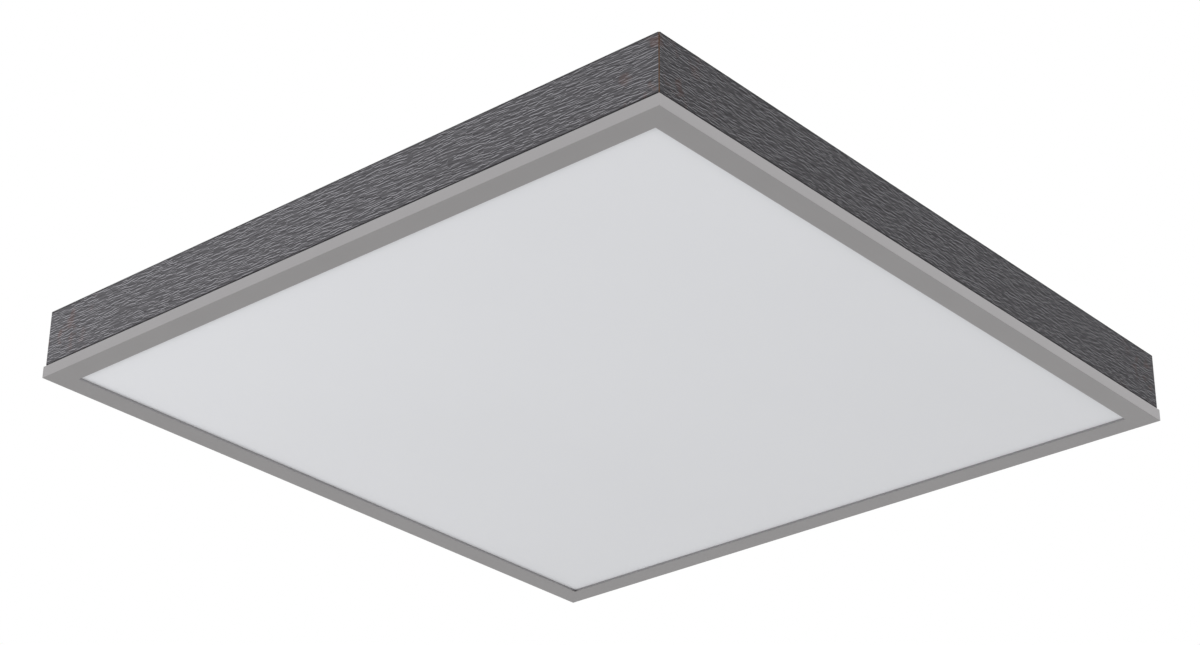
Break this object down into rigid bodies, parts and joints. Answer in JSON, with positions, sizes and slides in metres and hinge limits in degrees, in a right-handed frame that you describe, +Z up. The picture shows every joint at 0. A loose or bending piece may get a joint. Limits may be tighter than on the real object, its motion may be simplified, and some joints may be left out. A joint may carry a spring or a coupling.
{
  "type": "flush mount ceiling light",
  "caption": "Square edge-lit ceiling light: a dark boxed surround on ceiling rails, with a white diffuser panel in a silver trim that clips up into it.",
  "frame": {"origin": "centre of the ceiling plane, at the middle of the four ceiling slots", "axes": "+Z up, into the ceiling; +X to the right side, -Y to the front side"},
  "size_m": [0.595, 0.595, 0.055],
  "materials": {
    "decor_foil": "embossed dark metal-look foil, short fine strokes",
    "board": "medium-density fibreboard, brown sawn faces",
    "zinc_steel": "zinc-plated sheet steel",
    "spring_steel": "blued spring steel",
    "fasteners": "zinc-plated, small heads",
    "seal_foam": "black closed-cell foam strip",
    "trim_aluminium": "satin anodised, fine lengthwise drawing lines",
    "key_alloy": "die-cast, rough",
    "opal": "opal white, satin",
    "clear_acrylic": "clear, polished edges, fine printed dots",
    "reflector_film": "white film",
    "foam": "white expanded foam sheet",
    "back_steel": "white powder coat on sheet steel",
    "strip_mask": "white solder mask",
    "chip": "yellow phosphor in a white package",
    "driver_white": "moulded white plastic, fine grain",
    "circuit": "green solder mask",
    "ferrite": "dark grey ferrite, taped coil",
    "capacitor": "dark sleeve",
    "terminal_grey": "light grey moulding",
    "button_orange": "orange moulding",
    "lead_sheath": "white sheath",
    "connector_black": "black moulding",
    "core_red": "insulated cores"
  },
  "bodies": {
    "surround": {"board_back": "board", "board_front": "board", "board_left": "board", "board_right": "board", "ceiling_rail_back": "zinc_steel", "ceiling_rail_front": "zinc_steel", "clip_rivets": "fasteners", "corner_bracket_back_left": "zinc_steel", "corner_bracket_back_right": "zinc_steel", "corner_bracket_front_left": "zinc_steel", "corner_bracket_front_right": "zinc_steel", "foil_back": "decor_foil", "foil_front": "decor_foil", "foil_left": "decor_foil", "foil_right": "decor_foil", "seals": "seal_foam", "spring_clip_back_left": "spring_steel", "spring_clip_back_right": "spring_steel", "spring_clip_front_left": "spring_steel", "spring_clip_front_right": "spring_steel", "wood_screws": "fasteners"},
    "light_panel": {"back_plate": "back_steel", "backing_foam": "foam", "cable_clamp": "driver_white", "clamp_screws": "fasteners", "corner_keys": "key_alloy", "diffuser": "opal", "driver_base": "driver_white", "driver_board": "circuit", "driver_capacitors": "capacitor", "driver_lid": "driver_white", "driver_transformer": "ferrite", "entry_cap": "driver_white", "feed_wires": "core_red", "hanger_tongue_back_left": "zinc_steel", "hanger_tongue_back_right": "zinc_steel", "hanger_tongue_front_left": "zinc_steel", "hanger_tongue_front_right": "zinc_steel", "hex_nuts": "fasteners", "lead_driver": "lead_sheath", "lead_panel": "lead_sheath", "lead_plug": "connector_black", "lead_saddles": "driver_white", "lead_socket": "connector_black", "light_chips": "chip", "light_guide": "clear_acrylic", "light_strip_left": "strip_mask", "light_strip_right": "strip_mask", "plate_screws": "fasteners", "reflector": "reflector_film", "supply_terminal": "terminal_grey", "trim_back": "trim_aluminium", "trim_front": "trim_aluminium", "trim_left": "trim_aluminium", "trim_right": "trim_aluminium", "weld_studs": "fasteners"},
    "terminal_cover": {"terminal_cover": "driver_white"},
    "button_neutral": {"release_button_neutral": "button_orange"},
    "button_live": {"release_button_live": "button_orange"}
  },
  "joints": [
    {"name": "panel_release", "type": "slide", "parent": "surround", "child": "light_panel", "axis": [0, 0, -1], "range_m": [0, 0.06]},
    {"name": "cover_hinge", "type": "hinge", "parent": "light_panel", "child": "terminal_cover", "pos_m": [-0.0428, 0.095, -0.0215], "axis": [0, 1, 0], "range_deg": [0, 90]},
    {"name": "neutral_release", "type": "slide", "parent": "light_panel", "child": "button_neutral", "axis": [0, 0, -1], "range_m": [0, 0.0015], "stiffness_N_per_m": 300, "springref_m": -0.001},
    {"name": "live_release", "type": "slide", "parent": "light_panel", "child": "button_live", "axis": [0, 0, -1], "range_m": [0, 0.0015], "stiffness_N_per_m": 300, "springref_m": -0.001}
  ]
}
